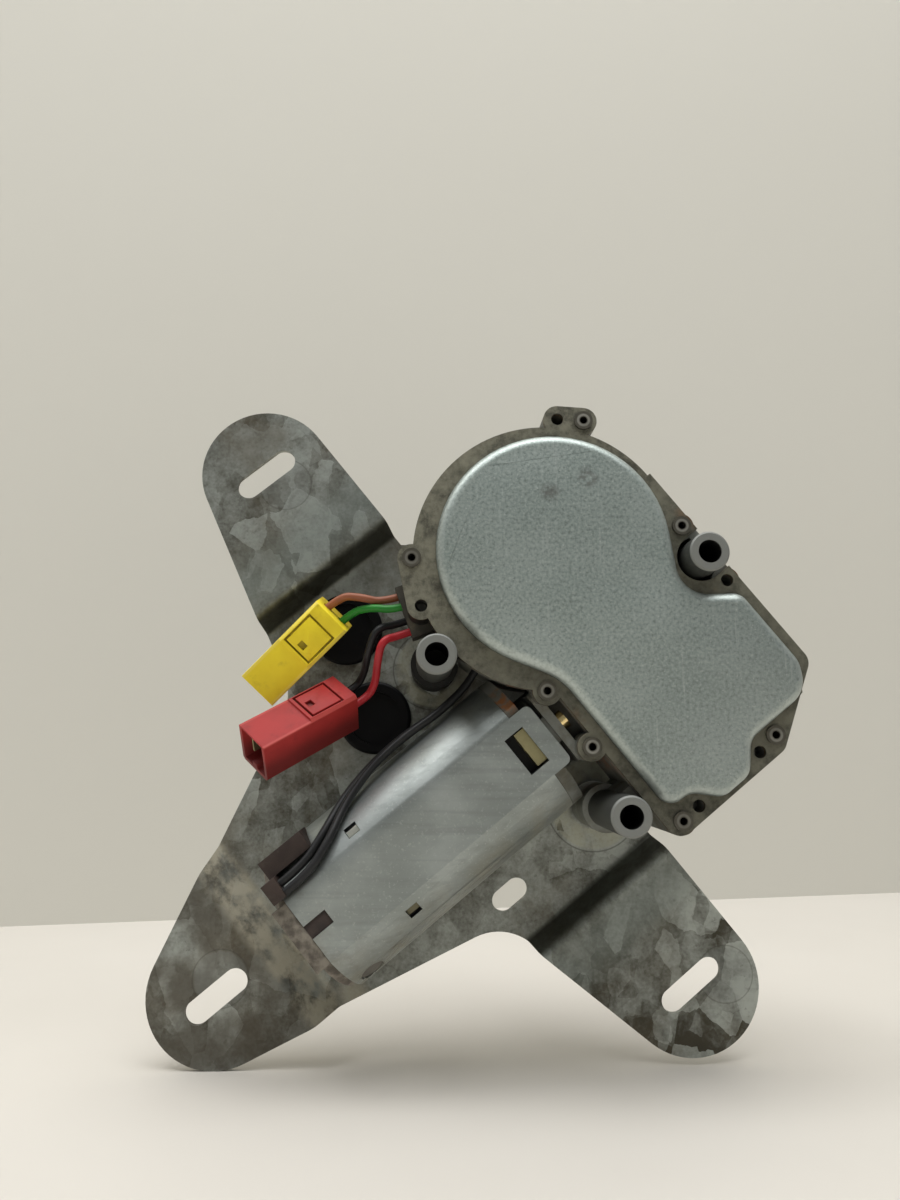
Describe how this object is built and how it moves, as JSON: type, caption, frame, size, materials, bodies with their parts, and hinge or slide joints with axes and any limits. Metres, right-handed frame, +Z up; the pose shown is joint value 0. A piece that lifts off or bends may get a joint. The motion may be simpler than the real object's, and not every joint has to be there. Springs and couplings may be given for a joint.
{
  "type": "wiper motor",
  "caption": "Wiper motor on a three-armed galvanised bracket: flat-sided motor can, worm gearbox with crank linkage under a pressed cover, swinging output shaft, short leads with connectors.",
  "frame": {"origin": "on the output shaft's axis, in the plane of the rear faces of the bracket's pads", "axes": "+Y along the output shaft towards the wiper arm, away from the cover; +Z up and +X right as the picture shows the cover side; the motor's axis leans 39 degrees in the XZ plane"},
  "size_m": [0.2042, 0.111, 0.2175],
  "materials": {
    "galvanised": "dull galvanised sheet with spangle",
    "cover_zinc": "zinc-coated pressed sheet, fine scratches",
    "can_zinc": "zinc-plated drawn steel",
    "die_cast": "matte die-cast alloy",
    "post_grey": "matte turned sleeve",
    "steel": "turned steel",
    "screw_gold": "yellow-passivated steel",
    "brass": "dull brass",
    "bronze": "sintered bronze",
    "copper": "copper",
    "core_steel": "stacked steel sheet",
    "ferrite": "sintered ferrite",
    "carbon": "pressed carbon",
    "nylon": "moulded nylon",
    "phenolic": "phenolic sheet",
    "paper": "gasket paper",
    "rubber": "matte black rubber",
    "grey_plastic": "moulded dark grey plastic",
    "brown_plastic": "moulded brown plastic",
    "yellow_plastic": "moulded yellow plastic",
    "red_plastic": "moulded red plastic",
    "wire_brown": "wire insulation",
    "wire_green": "wire insulation",
    "wire_black": "wire insulation",
    "wire_red": "wire insulation"
  },
  "bodies": {
    "base": {"bracket": "galvanised", "gear_housing": "die_cast", "posts": "post_grey", "gear_cover": "cover_zinc", "cover_gasket": "paper", "cover_rivets": "steel", "bracket_screws": "steel", "motor_can": "can_zinc", "rear_end_cap": "brown_plastic", "magnets": "ferrite", "rear_bush": "bronze", "front_bush": "bronze", "tail_bush": "bronze", "thrust_pad": "nylon", "brush_plate": "phenolic", "brushes": "carbon", "nut_bars": "brass", "can_screws": "screw_gold", "wheel_axle": "steel", "axle_clip": "steel", "shaft_bushes": "bronze", "shaft_seal": "rubber", "grommet_upper": "rubber", "grommet_lower": "rubber", "wire_outlet": "grey_plastic", "lead_clip": "brown_plastic", "yellow_connector": "yellow_plastic", "red_connector": "red_plastic", "red_blades": "brass", "motor_lead_outer": "wire_black", "motor_lead_inner": "wire_black", "wire_brown": "wire_brown", "wire_green": "wire_green", "wire_black": "wire_black", "wire_red": "wire_red"},
    "armature": {"armature_shaft": "steel", "worm": "steel", "armature_core": "core_steel", "armature_winding": "copper", "commutator": "copper"},
    "wheel": {"worm_wheel": "nylon", "crank_pin": "steel"},
    "output": {"output_shaft": "steel", "pinion": "steel", "shaft_rings": "steel"},
    "link": {"link_plate": "steel", "link_pin": "steel"},
    "rod": {"sector_rod": "steel"}
  },
  "joints": [
    {"name": "armature_spin", "type": "hinge", "parent": "base", "child": "armature", "pos_m": [-0.01573, -0.0151, 0.01943], "axis": [0.7771, 0, 0.6293], "continuous": true},
    {"name": "wheel_spin", "type": "hinge", "parent": "base", "child": "wheel", "pos_m": [-0.04884, -0.0151, 0.04602], "axis": [0, 1, 0], "continuous": true},
    {"name": "shaft_swing", "type": "hinge", "parent": "base", "child": "output", "pos_m": [0, 0, 0], "axis": [0, 1, 0], "range_deg": [-60, 60]},
    {"name": "link_swing", "type": "hinge", "parent": "base", "child": "link", "pos_m": [0, 0, 0], "axis": [0, 1, 0], "range_deg": [-20, 20]},
    {"name": "rod_swing", "type": "hinge", "parent": "link", "child": "rod", "pos_m": [-0.02162, -0.0315, -0.01043], "axis": [0, 1, 0], "range_deg": [-20, 20]}
  ],
  "couplings": [
    {"joint": "wheel_spin", "follows": "armature_spin", "ratio": 0.017857},
    {"joint": "link_swing", "follows": "shaft_swing", "ratio": 0.33333},
    {"joint": "rod_swing", "follows": "shaft_swing", "ratio": -0.33333}
  ]
}
